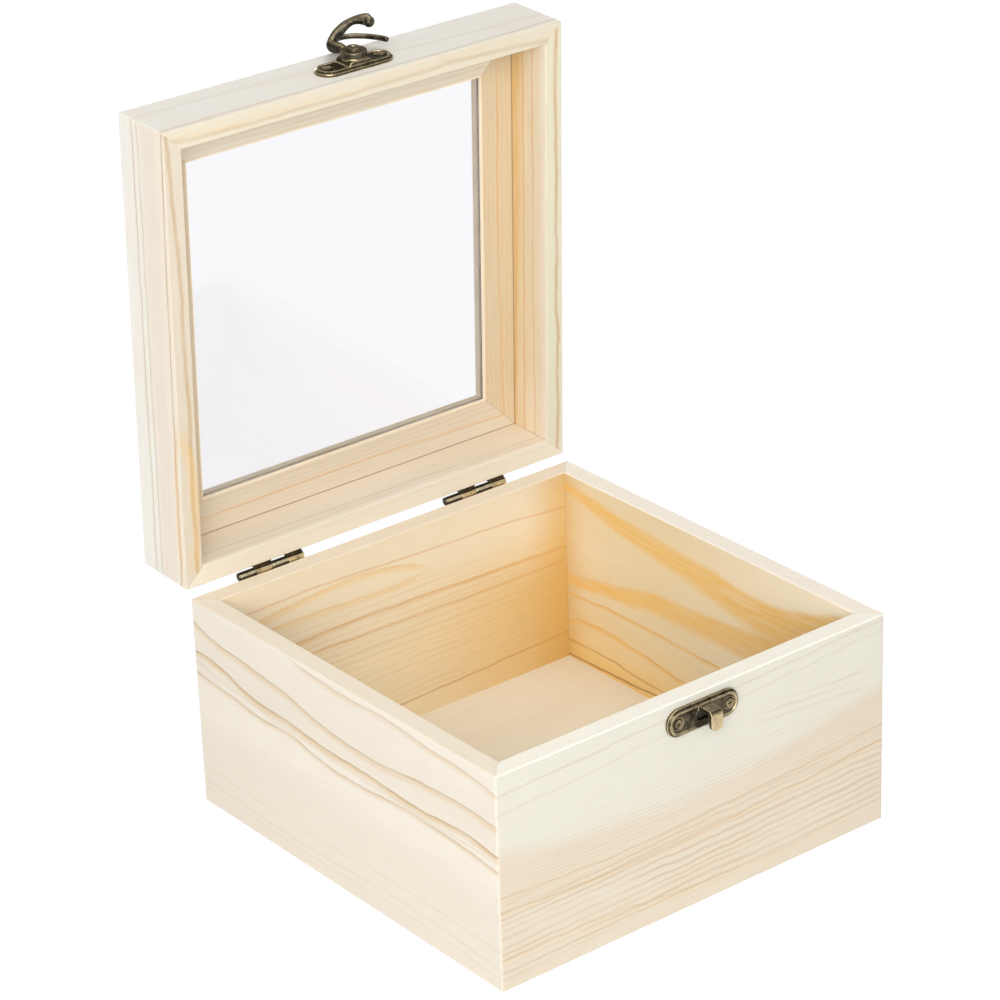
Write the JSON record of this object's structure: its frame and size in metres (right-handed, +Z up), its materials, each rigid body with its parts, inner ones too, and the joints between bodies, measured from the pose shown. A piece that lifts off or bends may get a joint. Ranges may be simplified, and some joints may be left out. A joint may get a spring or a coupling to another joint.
{
  "type": "clear lid wooden box",
  "caption": "Square unfinished pine box with a hinged lid that holds a clear pane, two small back hinges and a bronze swing hook latch.",
  "frame": {"origin": "middle of the base's flat underside", "axes": "+X to the right seen from the front, +Y towards the back hinges, +Z up out of the open box"},
  "size_m": [0.15, 0.1822, 0.2359],
  "materials": {
    "pine": "raw",
    "plywood": "raw",
    "clear_acrylic": "clear",
    "antique_bronze": "antiqued"
  },
  "bodies": {
    "base": {"base_wall_front": "pine", "base_wall_right": "pine", "base_wall_back": "pine", "base_wall_left": "pine", "bottom_panel": "plywood", "left_hinge_base_leaf": "antique_bronze", "right_hinge_base_leaf": "antique_bronze", "left_hinge_pin": "antique_bronze", "right_hinge_pin": "antique_bronze", "base_hinge_screws": "antique_bronze", "keeper_plate": "antique_bronze", "keeper_plate_screws": "antique_bronze"},
    "lid": {"lid_wall_front": "pine", "lid_wall_right": "pine", "lid_wall_back": "pine", "lid_wall_left": "pine", "lid_frame_rail_front": "pine", "lid_frame_rail_right": "pine", "lid_frame_rail_back": "pine", "lid_frame_rail_left": "pine", "clear_pane": "clear_acrylic", "left_hinge_lid_leaf": "antique_bronze", "right_hinge_lid_leaf": "antique_bronze", "lid_hinge_screws": "antique_bronze", "hook_plate": "antique_bronze", "hook_plate_screws": "antique_bronze", "hook_rivet": "antique_bronze"},
    "hook": {"swing_hook": "antique_bronze"}
  },
  "joints": [
    {"name": "lid_hinge", "type": "hinge", "parent": "base", "child": "lid", "pos_m": [0, 0.0769, 0.07065], "axis": [1, 0, 0], "range_deg": [0, 88]},
    {"name": "hook_swing", "type": "hinge", "parent": "lid", "child": "hook", "pos_m": [0.0015, 0.08119, 0.22709], "axis": [0, -0.0349, 0.9994], "range_deg": [-130, 50]}
  ]
}
